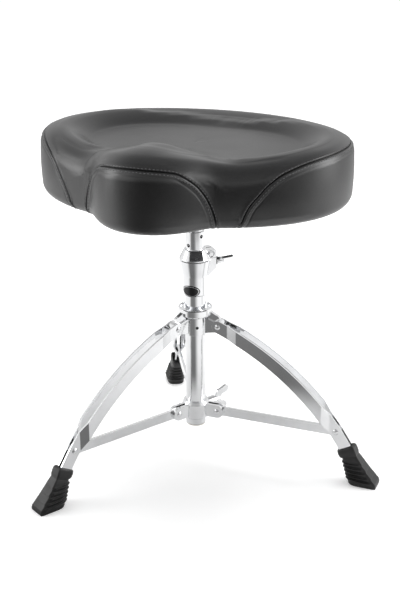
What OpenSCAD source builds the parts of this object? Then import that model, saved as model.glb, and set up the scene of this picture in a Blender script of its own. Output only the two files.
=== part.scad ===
// Drum throne: a folding, double-braced tripod, a telescoping post and a saddle seat.
// Millimetres, +Z up. The origin is on the floor under the post's axis. The seat's nose
// points to -Y and leg 1 points to +X; legs 2 and 3 follow every 120 degrees.

/* [Seat] */
// Width of the seat across its wings
seat_w = 424; // [410:2:440]
// From the post's axis to the seat's back edge
seat_back = 168; // [160:2:180]
// From the post's axis to the front edge of the wings
seat_front = 158; // [150:2:164]
// From the post's axis to the tip of the nose
seat_nose = 205; // [200:1:210]
// Width of the ellipse that the nose is the end of
nose_w = 220; // [210:2:230]
// Height of the seat's underside above the floor
seat_z = 393; // [392:1:398]
// Height of the side walls, from the underside to the top seam
wall_h = 77; // [70:1:84]
// Height of the rolled edge above the top seam
rim_h = 13; // [8:1:16]
// Height of the nose's hump above the top seam
hump_h = 22; // [14:1:26]
// Thickness of the plywood board
board_t = 12; // [10:1:14]

/* [Tubes] */
// Outside diameter of the base tube
tube_d = 28.6; // [28.6:0.1:29]
// Outside diameter of the height post
post_d = 25.4; // [25:0.1:25.4]
// Outside diameter of the spigot that carries the seat
spigot_d = 22.2; // [22:0.1:22.2]
// Height of the post's top end
post_top = 340; // [338:1:341]
// Distance from one cross hole in the post to the next
hole_pitch = 12.7; // [12.5:0.1:14]

/* [Tripod] */
// Distance from the post's axis to the upper leg rivets
hub_r = 35.7; // [35:0.1:37]
// Height of the upper leg rivets
hub_z = 205.5; // [204:0.5:207]
// Distance from the post's axis to the rivets that join legs and braces
knee_r = 209; // [208:0.5:210]
// Height of the lower rivets and of the braces
knee_z = 74; // [73.5:0.5:74.5]
// Radius of the legs' curve
leg_curve_r = 390; // [370:5:400]
// Slope of the legs below the lower rivets, in degrees
shin_slope = 57; // [55:0.5:58]
// Height of the leg straps' section
strap_h = 17.5; // [16:0.5:18]
// Thickness of the leg straps
strap_t = 2.5; // [2.2:0.1:2.6]
// Thickness of the flat brace bars
brace_t = 4; // [3.6:0.1:4]
// Height of the brace bars
brace_h = 13.5; // [12.5:0.5:15]

/* [Hidden] */
$fn = 64;

// clearances
run_gap = 0.05;   // radial, between a turning or sliding shaft and its hole
side_gap = 0.1;   // beside a part that swings between two others
soft_gap = 0.4;   // between the soft pieces of the seat
tip_gap = 0.1;    // between a bolt's tip and what it presses on when tightened
cut = 1;          // how far a cutter runs past the face it opens

// azimuths of the three clamps and of the memory lock, about the post
height_bolt_az = 42;
lock_az = 45;
fold_bolt_az = 60;
seat_bolt_az = 90;
badge_az = -92;
holes_az = -23;

// heights on the axis
tube_z = 49;           // foot of the base tube's end cap
tube_top = 262;        // top of the base tube, inside the housing
housing_z = 249;       // foot of the clamp housing
cone_z = 276;          // where the housing starts to widen
housing_top = 300.5;
lock_top = 315;
lower_collar_h = 25.5;
lower_collar_z = knee_z - 12.8;
upper_collar_z = 191;
cup_z = 219;
cup_top = 230;

tube_wall = 1.2;
post_wall = 1.6;
post_z = 84;           // lower end of the post at its lowest setting
spigot_z = 296;        // lower end of the spigot, inside the post
bushing_d = 29.4;
cross_hole_d = 5;
housing_r = 17;
housing_top_r = 22;
boss_r = 30.3;         // outer face of the housing's boss
boss_w = 18;
bolt_z = housing_top - 7.5;

// wing bolts
bolt_hole_d = 6;
bolt_d = bolt_hole_d - 2 * run_gap;
shoe_d = 9;            // brake shoe, pressed onto the post by the height wing bolt
shoe_out = 15.9;
fold_boss_r = 33;      // outer face of the lower collar's boss
bolt_boss_d = 15;

// rivets
rivet_d = 5;
head_d = 8.4;
head_h = 1.8;
ear_r = 9.5;           // rounded ears of the lower collar
ear_t = 4.6;
lug_t = 11;            // thickness of the upper collar's lugs
knee_in_r = 34.4;      // distance from the post's axis to the lower collar's rivets

// half gaps between the two straps of a leg: at the hub, in the middle and at the knee
gap_hub = lug_t / 2 + side_gap;
gap_mid = 8;
gap_knee = brace_t / 2 + side_gap;

function leg_az(n) = 120 * (n - 1);

// ---- general pieces ----

// Places its children at azimuth az about the post's axis, with X pointing outwards.
module at_az(az) {
  rotate([0, 0, az]) children();
}

// A round bar along Y, centred on the leg's plane, at distance r and height z.
module cross_bar(r, z, d, len) {
  translate([r, 0, z]) rotate([90, 0, 0]) cylinder(d = d, h = len, center = true);
}

// A low dome with a flat back at z = 0, for rivet heads.
module dome(d, h) {
  ball_r = (d * d / 4 + h * h) / (2 * h);
  intersection() {
    translate([0, 0, h - ball_r]) sphere(r = ball_r);
    cylinder(d = d, h = h);
  }
}

// A rivet along Y: shank and two domed heads whose backs are len apart.
module rivet(r, z, len) {
  cross_bar(r, z, rivet_d, len);
  for (side = [-1, 1])
    translate([r, side * len / 2, z]) rotate([-90 * side, 0, 0]) dome(head_d, head_h);
}

// A tube along Z.
module tube(od, id, h) {
  difference() {
    cylinder(d = od, h = h);
    translate([0, 0, -cut]) cylinder(d = id, h = h + 2 * cut);
  }
}

// One paddle of a wing bolt, in the plane of X and Z: it rises beside the hub and flares outwards.
module wing(span, reach, t) {
  tip_r = span * 0.15;
  root_z = 3.6;          // the paddle's lower corner, inside the hub
  waist = span * 0.3;    // where the outer edge starts to flare
  rotate([90, 0, 0]) linear_extrude(height = t, center = true) {
    polygon([
      [2.4, root_z], [2.8, span / 2 - 2.2 * tip_r], [4.4, span / 2 - tip_r], [reach - tip_r, span / 2],
      [reach, span / 2 - tip_r], [reach - 0.8 * tip_r, span / 2 - 2 * tip_r], [reach * 0.55, waist * 0.55],
      [reach * 0.45, root_z - 1.4]
    ]);
    translate([reach - tip_r, span / 2 - tip_r]) circle(r = tip_r);
    translate([4.4 + 0.6 * tip_r, span / 2 - 1.5 * tip_r]) circle(r = tip_r * 0.8);
  }
}

// A wing bolt along X: the flange's back is at x = 0 and the shank points to -X.
module wing_bolt(shank_len, span, reach) {
  flange_h = 2.4;
  rotate([0, 90, 0]) {
    cylinder(d = 12, h = flange_h);
    translate([0, 0, flange_h]) cylinder(d1 = 10.6, d2 = 8.6, h = 9);
    translate([0, 0, -shank_len]) cylinder(d = bolt_d, h = shank_len);
  }
  for (side = [0, 1]) mirror([0, 0, side]) wing(span, reach, 3.2);
}

// ---- base ----

// Holes for the collar's pin, straight through the tube on the pin's azimuth.
pin_az = -60;
pin_z = 203;
pin_d = 4.3;

module base_tube() {
  color("silver") difference() {
    translate([0, 0, tube_z + 2]) tube(tube_d, tube_d - 2 * tube_wall, tube_top - tube_z - 2);
    at_az(pin_az) translate([tube_d / 2, 0, pin_z]) rotate([0, 90, 0])
      cylinder(d = pin_d, h = 2 * tube_wall + 2, center = true);
  }
}

module tube_end_cap() {
  color("gainsboro") {
    translate([0, 0, tube_z]) cylinder(d1 = tube_d - 1.6, d2 = tube_d, h = 2);
    translate([0, 0, tube_z + 2]) cylinder(d = tube_d - 2 * tube_wall, h = 9);
  }
}

module clamp_housing() {
  color("silver") difference() {
    union() {
      rotate_extrude() polygon([
        [0, housing_z], [housing_r - 1, housing_z], [housing_r, housing_z + 1],
        [housing_r, cone_z], [housing_top_r, housing_top - 1.2],
        [housing_top_r - 1, housing_top], [0, housing_top]
      ]);
      // boss for the wing bolt, running out into the cone below it
      at_az(height_bolt_az) intersection() {
        rotate([90, 0, 0]) linear_extrude(height = boss_w, center = true) polygon([
          [0, cone_z], [housing_r, cone_z], [boss_r, housing_top - 12.5],
          [boss_r, housing_top - 1], [boss_r - 1, housing_top], [0, housing_top]
        ]);
        translate([0, 0, cone_z]) union() {
          translate([boss_r - boss_w, 0, 0]) cylinder(r = boss_w, h = 40);
          translate([0, -boss_w / 2, 0]) cube([boss_w, boss_w, 40]);
        }
      }
    }
    translate([0, 0, housing_z - cut]) cylinder(d = tube_d, h = tube_top - housing_z + cut);
    translate([0, 0, tube_top - cut]) cylinder(d = bushing_d, h = housing_top - tube_top + 2 * cut);
    at_az(height_bolt_az) translate([0, 0, bolt_z]) rotate([0, 90, 0]) {
      cylinder(d = bolt_hole_d, h = boss_r + cut);
      cylinder(d = shoe_d + 2 * run_gap, h = shoe_out + tip_gap);
    }
  }
}

// The post's own bore, wider than the post by the running gap.
module post_bore(z, h) {
  translate([0, 0, z]) cylinder(d = post_d + 2 * run_gap, h = h);
}

module clamp_bushing() {
  color("ivory") difference() {
    translate([0, 0, tube_top]) cylinder(d = bushing_d, h = housing_top - tube_top);
    post_bore(tube_top - cut, housing_top - tube_top + 2 * cut);
    at_az(height_bolt_az) translate([0, 0, bolt_z]) rotate([0, 90, 0])
      cylinder(d = shoe_d + 2 * run_gap, h = 20);
  }
}

module brake_shoe() {
  color("goldenrod") difference() {
    at_az(height_bolt_az) translate([0, 0, bolt_z]) rotate([0, 90, 0])
      cylinder(d = shoe_d, h = shoe_out);
    post_bore(bolt_z - 10, 20);
  }
}

module clamp_badge() {
  badge_z = 257;
  color("black") at_az(badge_az) intersection() {
    difference() {
      translate([0, 0, badge_z - 10]) cylinder(r = housing_r + 1, h = 20);
      translate([0, 0, badge_z - 11]) cylinder(r = housing_r, h = 22);
    }
    translate([0, 0, badge_z]) rotate([0, 90, 0]) union() {
      cylinder(r = 7.2, h = 30);
      for (side = [-1, 1]) translate([0, side * 6.5, 0]) cylinder(r = 6.2, h = 30);
    }
  }
}

module height_wing_bolt() {
  color("silver") at_az(height_bolt_az) translate([boss_r, 0, bolt_z]) rotate([58, 0, 0])
    wing_bolt(boss_r - shoe_out - tip_gap, 37, 24);
}

module upper_collar() {
  color("silver") difference() {
    union() {
      translate([0, 0, upper_collar_z]) cylinder(r = 17.5, h = cup_z - upper_collar_z + 4);
      // cup ring, open at the top
      rotate_extrude() polygon([
        [0, cup_z - 3], [18, cup_z - 3], [23, cup_z], [24, cup_z + 1.5], [24, cup_top - 1],
        [23, cup_top], [21.6, cup_top], [20.6, cup_z + 5.5], [0, cup_top - 1]
      ]);
      for (n = [1:3]) at_az(leg_az(n)) {
        // lug between the two straps
        rotate([90, 0, 0]) linear_extrude(height = lug_t, center = true) {
          polygon([
            [10, upper_collar_z + 1], [hub_r, hub_z - strap_h / 2],
            [hub_r + 4, hub_z + 3], [10, hub_z + 12]
          ]);
          translate([hub_r, hub_z]) circle(r = strap_h / 2);
        }
        // web up to the cup, with a rounded nose
        rotate([90, 0, 0]) linear_extrude(height = 6, center = true) {
          polygon([[16, hub_z], [37, hub_z], [37, hub_z + 10], [32, hub_z + 15], [22, cup_top - 4]]);
          translate([32, hub_z + 10]) circle(r = 5);
        }
      }
    }
    translate([0, 0, upper_collar_z - cut]) cylinder(d = tube_d, h = 60);
    for (n = [1:3]) at_az(leg_az(n)) cross_bar(hub_r, hub_z, rivet_d, 40);
    at_az(pin_az) translate([0, 0, pin_z]) rotate([0, 90, 0]) cylinder(d = pin_d, h = 40);
  }
}

module upper_collar_pin() {
  color("dimgray") at_az(pin_az) translate([tube_d / 2 - tube_wall, 0, pin_z]) rotate([0, 90, 0])
    tube(pin_d, 2, 3.6);
}

module upper_leg_rivets() {
  color("silver") for (n = [1:3]) at_az(leg_az(n)) rivet(hub_r, hub_z, 2 * (gap_hub + strap_t));
}

// ---- post ----

// Cross holes in the post, each turned a quarter from the last.
module cross_holes() {
  for (i = [0:18]) at_az(holes_az + 90 * (i % 2))
    translate([0, 0, post_top - 6.2 - i * hole_pitch]) rotate([0, 90, 0])
      cylinder(d = cross_hole_d, h = post_d + 4, center = true);
}

module height_post() {
  color("silver") difference() {
    translate([0, 0, post_z]) tube(post_d, post_d - 2 * post_wall, post_top - post_z);
    cross_holes();
  }
}

module post_guide_ring() {
  ring_od = tube_d - 2 * tube_wall - 2 * run_gap;
  color("ivory") difference() {
    translate([0, 0, post_z - 3]) union() {
      cylinder(d = ring_od, h = 3);
      cylinder(d = post_d - 2 * post_wall, h = 15);
    }
    translate([0, 0, post_z - 4]) cylinder(d = post_d - 2 * post_wall - 3, h = 20);
  }
}

module post_spigot() {
  color("silver") difference() {
    translate([0, 0, spigot_z]) tube(spigot_d, spigot_d - 4, seat_z - 1 - spigot_z);
    cross_holes();
  }
}

// ---- memory lock ----

lock_z = housing_top + side_gap;
hinge_r = 17;          // distance from the post's axis to the hinge pin
hinge_h = 6.5;
hinge_d = 3;
ear_out = 28;          // reach of the ears that the key bolt pulls together
ear_top = 313;
ear_w = 20;
slit = 1.8;            // between the two ears
key_r = 19.5;          // distance from the post's axis to the key bolt
key_z = 306.8;
key_d = 5;
recess_d = 10.6;       // round recess for the key bolt's head
recess_y = ear_w / 2 - 2.2;

// The whole ring, before it is split into two halves.
module lock_ring() {
  difference() {
    union() {
      rotate_extrude() polygon([
        [0, lock_z], [housing_top_r - 0.4, lock_z], [housing_top_r - 0.4, lock_z + 1.5],
        [15.6, lock_top - 1], [15, lock_top], [0, lock_top]
      ]);
      // ears for the key bolt
      at_az(lock_az) rotate([90, 0, 0]) linear_extrude(height = ear_w, center = true) polygon([
        [0, lock_z], [ear_out - 1, lock_z], [ear_out, lock_z + 1], [ear_out, ear_top - 3.5],
        [ear_out - 1, ear_top - 1.2], [ear_out - 3.5, ear_top], [0, ear_top]
      ]);
    }
    post_bore(lock_z - cut, 40);
    at_az(lock_az) {
      translate([key_r, 0, key_z]) rotate([90, 0, 0]) {
        cylinder(d = key_d, h = 2 * ear_w, center = true);
        translate([0, 0, recess_y]) cylinder(d = recess_d, h = ear_w);
      }
      translate([-hinge_r, 0, lock_z - cut]) cylinder(d = hinge_d, h = hinge_h + cut);
    }
  }
}

// All that lies on one side of the plane through the ears and the hinge. The two halves
// nearly touch at the hinge and stand apart by the slit at the ears.
module lock_half(side) {
  hinge_slit = 0.2;
  at_az(lock_az) mirror([0, side > 0 ? 0 : 1, 0]) {
    translate([0, slit / 2, lock_z - cut]) cube([80, 40, 30]);
    translate([-80, hinge_slit / 2, lock_z - cut]) cube([81, 40, 30]);
  }
}

module lock_fixed_half() {
  color("silver") intersection() {
    lock_ring();
    lock_half(1);
  }
}

module lock_swing_half() {
  color("silver") intersection() {
    lock_ring();
    lock_half(-1);
  }
}

module lock_hinge_pin() {
  color("silver") at_az(lock_az + 180) translate([hinge_r, 0, lock_z]) cylinder(d = hinge_d, h = hinge_h);
}

module lock_key_bolt() {
  head = 5.4;            // across the flats of the square head
  head_len = 3.4;
  head_y = recess_y + run_gap;
  color("silver") at_az(lock_az) translate([key_r, 0, key_z]) rotate([90, 0, 0]) {
    translate([0, 0, -ear_w / 2]) cylinder(d = key_d - 2 * run_gap, h = ear_w / 2 + head_y);
    translate([0, 0, head_y]) cylinder(d = 9, h = 1.2);
    translate([-head / 2, -head / 2, head_y + 1.2]) cube([head, head, head_len]);
  }
}

// ---- seat ----

bracket_z = 347;       // foot of the bracket's sleeve
plate_t = 4;
sleeve_d = 33;
seat_bolt_z = 362;
seat_boss_r = 27;
screw_x = 42;
screw_y = 34;
screw_d = 6;
skin_t = 1.6;          // thickness of the cover
board_z = seat_z + skin_t;
seam_z = seat_z + wall_h;
corner_r = 15;         // radius of the seat's lower edge

// Distance from the post's axis to the seat's edge: a wide rounded body joined smoothly
// to a narrower nose.
body_power = 2.05;
nose_power = 2.1;
blend_power = 24;
function body_edge(a) =
  let (depth = sin(a) > 0 ? seat_back : seat_front)
  pow(pow(abs(cos(a)) / (seat_w / 2), body_power) + pow(abs(sin(a)) / depth, body_power),
      -1 / body_power);
function nose_edge(a) =
  sin(a) >= 0 ? 0 :
  pow(pow(abs(cos(a)) / (nose_w / 2), nose_power) + pow(abs(sin(a)) / seat_nose, nose_power),
      -1 / nose_power);
function seat_edge(a) =
  pow(pow(body_edge(a), blend_power) + pow(nose_edge(a), blend_power), 1 / blend_power);

// The edge moved inwards by d, as points from azimuth a0 to a1.
edge_step = 4;
function edge_points(d, a0 = 0, a1 = 356) =
  [for (a = [a0:edge_step:a1]) (seat_edge(a) - d) * [cos(a), sin(a)]];

module seat_slab(z, h, d) {
  translate([0, 0, z]) linear_extrude(height = h) polygon(edge_points(d));
}

module seat_bracket() {
  color("silver") difference() {
    union() {
      translate([0, 0, bracket_z]) cylinder(d = sleeve_d, h = seat_z - bracket_z);
      // mounting plate with rounded corners
      translate([0, 0, seat_z - plate_t]) linear_extrude(height = plate_t) {
        square([2 * screw_x + 6, 2 * screw_y + 18], center = true);
        square([2 * screw_x + 18, 2 * screw_y + 6], center = true);
        for (sx = [-1, 1], sy = [-1, 1])
          translate([sx * (screw_x + 3), sy * (screw_y + 3)]) circle(r = 6);
      }
      // ribs between sleeve and plate
      for (a = [45, 135]) rotate([0, 0, a])
        rotate([90, 0, 0]) linear_extrude(height = 5, center = true)
          polygon([[-38, seat_z - plate_t], [38, seat_z - plate_t], [14, bracket_z + 5],
            [-14, bracket_z + 5]]);
      // boss for the wing bolt
      at_az(seat_bolt_az) translate([0, 0, seat_bolt_z]) rotate([0, 90, 0])
        cylinder(d = bolt_boss_d, h = seat_boss_r);
    }
    translate([0, 0, bracket_z - cut]) cylinder(d = spigot_d + 2 * run_gap, h = 60);
    at_az(seat_bolt_az) translate([0, 0, seat_bolt_z]) rotate([0, 90, 0])
      cylinder(d = bolt_hole_d, h = 40);
    for (sx = [-1, 1], sy = [-1, 1]) translate([sx * screw_x, sy * screw_y, seat_z - plate_t - cut])
      cylinder(d = screw_d + 0.8, h = 20);
  }
}

module seat_wing_bolt() {
  color("silver") at_az(seat_bolt_az) translate([seat_boss_r, 0, seat_bolt_z]) rotate([90, 0, 0])
    wing_bolt(seat_boss_r - spigot_d / 2 - tip_gap, 28, 22);
}

// The four screws stand in the tee nuts' barrels.
module bracket_screws() {
  color("dimgray") for (sx = [-1, 1], sy = [-1, 1])
    translate([sx * screw_x, sy * screw_y, seat_z - plate_t]) {
      translate([0, 0, -4]) cylinder(d = 11, h = 4, $fn = 6);
      cylinder(d = screw_d, h = 14);
    }
}

module board_tee_nuts() {
  color("gray") for (sx = [-1, 1], sy = [-1, 1])
    translate([sx * screw_x, sy * screw_y, board_z + 1.4]) difference() {
      union() {
        cylinder(d = 8, h = board_t - 1.4);
        translate([0, 0, board_t - 1.4]) cylinder(d = 18, h = 1.2);
      }
      translate([0, 0, -cut]) cylinder(d = screw_d, h = 30);
    }
}

board_inset = 22;

module seat_board() {
  color("burlywood") difference() {
    seat_slab(board_z, board_t, board_inset);
    for (sx = [-1, 1], sy = [-1, 1]) translate([sx * screw_x, sy * screw_y, board_z - cut])
      cylinder(d = 8, h = 30);
  }
}

// Height of the padding above the seam: a roll along the edge that fades at the front, a
// shallow dish inside it, and the hump on the nose. t runs from 0 in the middle to 1 at the edge.
dish_h = 9;
hump_y = -0.68 * seat_nose;
function bump(x, width) = exp(-x * x / (width * width));
function from_nose(a) = abs((a + 270) % 360 - 180);
function roll_at(a) = rim_h * (1 - 0.8 * bump(from_nose(a), 58));
function pad_height(t, a) =
  let (r = t * seat_edge(a), x = r * cos(a), y = r * sin(a))
  roll_at(a) * bump(t - 0.87, 0.15)
  + hump_h * bump(x, 50) * bump(y - hump_y, 42)
  - dish_h * bump(t, 0.6);

// Rings of the padding from the edge towards the middle, as shares of the way out.
crown_t = [0.985, 0.95, 0.9, 0.84, 0.74, 0.6, 0.45, 0.3, 0.12];

function ring_points(d, z) = [for (p = edge_points(d)) [p[0], p[1], z]];
function crown_points(t, d, z) = [for (a = [0:edge_step:356])
  let (r = t * (seat_edge(a) - d)) [r * cos(a), r * sin(a), z + pad_height(t, a)]];

// A closed solid through a stack of rings that all have the same number of points.
module ring_solid(rings) {
  n = len(rings[0]);
  m = len(rings);
  polyhedron(
    points = [for (ring = rings) each ring],
    faces = concat(
      [[for (i = [0:n - 1]) i]],
      [for (k = [0:m - 2], i = [0:n - 1]) let (j = (i + 1) % n, a = k * n, b = a + n)
        each [[a + i, b + i, b + j], [a + i, b + j, a + j]]],
      [[for (i = [n - 1:-1:0]) (m - 1) * n + i]]
    ),
    convexity = 6
  );
}

module seat_foam() {
  d = skin_t + soft_gap;
  color("gold") ring_solid(concat(
    [ring_points(d + corner_r, board_z + board_t + 1.3),
     ring_points(d, board_z + board_t + 4)],
    [ring_points(d, seam_z - 6)],
    [for (t = crown_t) crown_points(t, d, seam_z - d - 1.2)]
  ));
}

// A strip of cover: a curved wall between two azimuths, from the lower edge up to z1.
module cover_wall(a0, a1, z1) {
  translate([0, 0, seat_z + 2]) linear_extrude(height = z1 - seat_z - 2)
    polygon(concat(edge_points(0, a0, a1), [for (i = [a1:-edge_step:a0])
      (seat_edge(i) - skin_t) * [cos(i), sin(i)]]));
}

nose_half = 30;        // half the nose panel's spread, in azimuth
side_start = 42;       // where the side panels start, from the nose's middle
panel_top = seam_z - skin_t - soft_gap;

module cover_nose_panel() {
  color("dimgray") cover_wall(270 - nose_half, 270 + nose_half, panel_top);
}

module cover_side_panel() {
  color("dimgray") cover_wall(-90 + side_start, 270 - side_start, panel_top);
}

module cover_top_panel() {
  color("dimgray") {
    ring_solid(concat(
      [for (i = [len(crown_t) - 1:-1:0]) crown_points(crown_t[i], 0, seam_z - skin_t)],
      [ring_points(0, seam_z - skin_t)],
      [ring_points(0, seam_z)],
      [for (t = crown_t) crown_points(t, 0, seam_z)]
    ));
    // the two strips that run down the front between nose and side panels
    for (side = [0, 1]) mirror([side, 0, 0])
      cover_wall(-88 + nose_half, -92 + side_start, seam_z);
  }
}

module cover_base_panel() {
  color("black") difference() {
    seat_slab(seat_z, skin_t - 0.2, board_inset - 6);
    for (sx = [-1, 1], sy = [-1, 1]) translate([sx * screw_x, sy * screw_y, seat_z - cut])
      cylinder(d = screw_d + 0.8, h = 20);
  }
}

// ---- fold mechanism ----

module lower_collar() {
  z0 = lower_collar_z;
  color("silver") difference() {
    union() {
      rotate_extrude() polygon([
        [0, z0], [18, z0], [19.5, z0 + 1.5], [19.5, z0 + lower_collar_h - 4],
        [17.2, z0 + lower_collar_h], [0, z0 + lower_collar_h]
      ]);
      for (n = [1:3], side = [-1, 1]) at_az(leg_az(n))
        translate([0, side * (gap_knee + ear_t / 2), 0]) rotate([90, 0, 0])
          linear_extrude(height = ear_t, center = true) {
            translate([knee_in_r, knee_z]) circle(r = ear_r);
            translate([10, knee_z - ear_r]) square([knee_in_r - 10, 2 * ear_r]);
          }
      at_az(fold_bolt_az) translate([0, 0, knee_z]) rotate([0, 90, 0])
        cylinder(d = bolt_boss_d, h = fold_boss_r);
    }
    translate([0, 0, z0 - cut]) cylinder(d = tube_d + 2 * run_gap, h = 60);
    for (n = [1:3]) at_az(leg_az(n)) {
      cross_bar(knee_in_r, knee_z, rivet_d, 40);
      // slot that takes the brace's end
      translate([knee_in_r - brace_h / 2 - 1, -gap_knee, z0 - cut]) cube([40, 2 * gap_knee, 60]);
    }
    at_az(fold_bolt_az) translate([0, 0, knee_z]) rotate([0, 90, 0]) cylinder(d = bolt_hole_d, h = 40);
  }
}

module lower_collar_rivets() {
  color("silver") for (n = [1:3]) at_az(leg_az(n)) rivet(knee_in_r, knee_z, 2 * (gap_knee + ear_t));
}

module fold_wing_bolt() {
  color("silver") at_az(fold_bolt_az) translate([fold_boss_r, 0, knee_z])
    rotate([8, 0, 0]) wing_bolt(fold_boss_r - tube_d / 2 - tip_gap, 40, 25);
}

// A flat bar from the lower collar's ears to the leg's lower rivet.
module brace(n) {
  color("silver") at_az(leg_az(n)) difference() {
    rotate([90, 0, 0]) linear_extrude(height = brace_t, center = true) {
      translate([knee_in_r, knee_z - brace_h / 2]) square([knee_r - knee_in_r, brace_h]);
      for (r = [knee_in_r, knee_r]) translate([r, knee_z]) circle(d = brace_h);
    }
    for (r = [knee_in_r, knee_r]) cross_bar(r, knee_z, rivet_d + 2 * run_gap, 20);
  }
}

// ---- legs ----

// The leg's centre line is an arc from the hub's rivet to the knee, then a steeper straight run.
half_chord = norm([knee_r - hub_r, knee_z - hub_z]) / 2;
chord_az = atan2(knee_z - hub_z, knee_r - hub_r);
arc_centre = [(hub_r + knee_r) / 2, (hub_z + knee_z) / 2]
  - sqrt(leg_curve_r * leg_curve_r - half_chord * half_chord) * [-sin(chord_az), cos(chord_az)];
shin_len = 72;         // straight run from the knee to the straps' ends inside the foot
knee_lap = 0.8;        // how far the straight run reaches back into the arc

// Side view of a strap, in the leg's plane.
module strap_side() {
  intersection() {
    translate(arc_centre) difference() {
      circle(r = leg_curve_r + strap_h / 2, $fn = 256);
      circle(r = leg_curve_r - strap_h / 2, $fn = 256);
    }
    // the wedge between the two rivets, seen from the arc's centre
    polygon([
      arc_centre,
      arc_centre + 1.4 * ([hub_r, hub_z] - arc_centre),
      arc_centre + 1.4 * ([knee_r, knee_z] - arc_centre)
    ]);
  }
  translate([hub_r, hub_z]) circle(d = strap_h);
  translate([knee_r, knee_z]) rotate(-shin_slope) translate([-knee_lap, -strap_h / 2])
    square([shin_len + knee_lap, strap_h]);
}

// Plan view of a strap: it leaves the hub, steps out, and is pinched in again at the knee.
module strap_plan() {
  step = [
    [10, gap_hub], [50, gap_hub], [64, gap_mid], [knee_r - 20, gap_mid],
    [knee_r - 9, gap_knee], [knee_r + 80, gap_knee]
  ];
  polygon(concat(step, [for (i = [len(step) - 1:-1:0]) step[i] + [0, strap_t]]));
}

module strap(n, side) {
  color("silver") at_az(leg_az(n)) mirror([0, side, 0]) difference() {
    intersection() {
      rotate([90, 0, 0]) linear_extrude(height = 30, center = true) strap_side();
      linear_extrude(height = hub_z + 40) strap_plan();
    }
    cross_bar(hub_r, hub_z, rivet_d + 2 * run_gap, 60);
    cross_bar(knee_r, knee_z, rivet_d, 60);
  }
}

// Two half rivets: the brace's end lies free between them.
module leg_rivet(n) {
  color("silver") at_az(leg_az(n)) for (side = [-1, 1])
    translate([knee_r, side * (gap_knee + strap_t), knee_z]) rotate([-90 * side, 0, 0]) {
      dome(head_d, head_h);
      translate([0, 0, -strap_t]) cylinder(d = rivet_d, h = strap_t);
    }
}

sole_in = 230.5;
sole_out = 270.5;
sole_w = 27;
foot_top_w = 15;
sole_edge_z = 6;       // where the flanks begin to narrow
band_z = 41;           // foot of the band round the top of the foot
band_top = 60;
rib_depth = 0.8;
rib_w = 1.6;
rib_pitch = 7;
rib_start = 42;        // from the knee to the first rib, along the shin

// Side view of a foot: a band at the top, a flared body and a flat sole.
module foot_side() {
  polygon([
    [sole_in, 0], [sole_out, 0], [sole_out - 0.5, 7], [241, 43.5], [241.5, 46], [234, 58.5],
    [231.5, 59], [214, 48.5], [213.5, 46.5], [218, 36], [220.5, 36.5], [sole_in - 1.5, 3]
  ]);
}

// Half the width of a foot at height z, and how far its flanks lean.
function flank(z) = sole_w / 2 - 1
  - (sole_w - foot_top_w - 4) / 2 * (z - sole_edge_z) / (band_z - sole_edge_z);
flank_lean = atan((flank(sole_edge_z) - flank(band_z)) / (band_z - sole_edge_z));

module leg_foot(n) {
  color("black") at_az(leg_az(n)) difference() {
    intersection() {
      rotate([90, 0, 0]) linear_extrude(height = 60, center = true) foot_side();
      translate([200, 0, 0]) rotate([90, 0, 90]) linear_extrude(height = 90) polygon([
        [-sole_w / 2, 0], [sole_w / 2, 0], [flank(sole_edge_z), sole_edge_z], [flank(band_z), band_z],
        [foot_top_w / 2, band_top], [-foot_top_w / 2, band_top], [-flank(band_z), band_z],
        [-flank(sole_edge_z), sole_edge_z]
      ]);
    }
    // grooves across both flanks, square to the shin
    for (i = [0:4], side = [-1, 1])
      let (along = rib_start + i * rib_pitch, z = knee_z - along * sin(shin_slope))
        translate([knee_r + along * cos(shin_slope), side * flank(z), z])
          rotate([0, shin_slope - 90, 0]) rotate([0, 0, -side * flank_lean * cos(shin_slope)])
            cube([44, 2 * rib_depth, rib_w], center = true);
    // pockets for the straps
    for (side = [-1, 1])
      translate([knee_r, side * (gap_knee + strap_t / 2), knee_z]) rotate([0, shin_slope, 0])
        translate([10, -strap_t / 2 - run_gap, -strap_h / 2 - run_gap])
          cube([shin_len - 10 + tip_gap, strap_t + 2 * run_gap, strap_h + 2 * run_gap]);
  }
}

module leg_1_strap_left() { strap(1, 0); }
module leg_1_strap_right() { strap(1, 1); }
module leg_1_foot() { leg_foot(1); }
module leg_1_rivet() { leg_rivet(1); }
module leg_2_strap_left() { strap(2, 0); }
module leg_2_strap_right() { strap(2, 1); }
module leg_2_foot() { leg_foot(2); }
module leg_2_rivet() { leg_rivet(2); }
module leg_3_strap_left() { strap(3, 0); }
module leg_3_strap_right() { strap(3, 1); }
module leg_3_foot() { leg_foot(3); }
module leg_3_rivet() { leg_rivet(3); }
module brace_1() { brace(1); }
module brace_2() { brace(2); }
module brace_3() { brace(3); }

base_tube();
tube_end_cap();
clamp_housing();
clamp_bushing();
clamp_badge();
brake_shoe();
height_wing_bolt();
upper_collar();
upper_collar_pin();
upper_leg_rivets();
height_post();
post_guide_ring();
post_spigot();
lock_fixed_half();
lock_swing_half();
lock_hinge_pin();
lock_key_bolt();
seat_bracket();
seat_wing_bolt();
bracket_screws();
board_tee_nuts();
seat_board();
seat_foam();
cover_top_panel();
cover_nose_panel();
cover_side_panel();
cover_base_panel();
lower_collar();
lower_collar_rivets();
fold_wing_bolt();
brace_1();
brace_2();
brace_3();
leg_1_strap_left();
leg_1_strap_right();
leg_1_foot();
leg_1_rivet();
leg_2_strap_left();
leg_2_strap_right();
leg_2_foot();
leg_2_rivet();
leg_3_strap_left();
leg_3_strap_right();
leg_3_foot();
leg_3_rivet();
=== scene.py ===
"""Looks of a drum throne: its padded saddle seat, rubber boots, badge and the materials of its metalwork.

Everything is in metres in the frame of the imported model: +Z up, the post on the Z axis, the seat's nose
towards -Y and leg 1 towards +X.
"""
import math

import bpy
import numpy as np
from mathutils import Matrix, Vector
from mathutils.bvhtree import BVHTree
from mathutils.kdtree import KDTree


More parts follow.
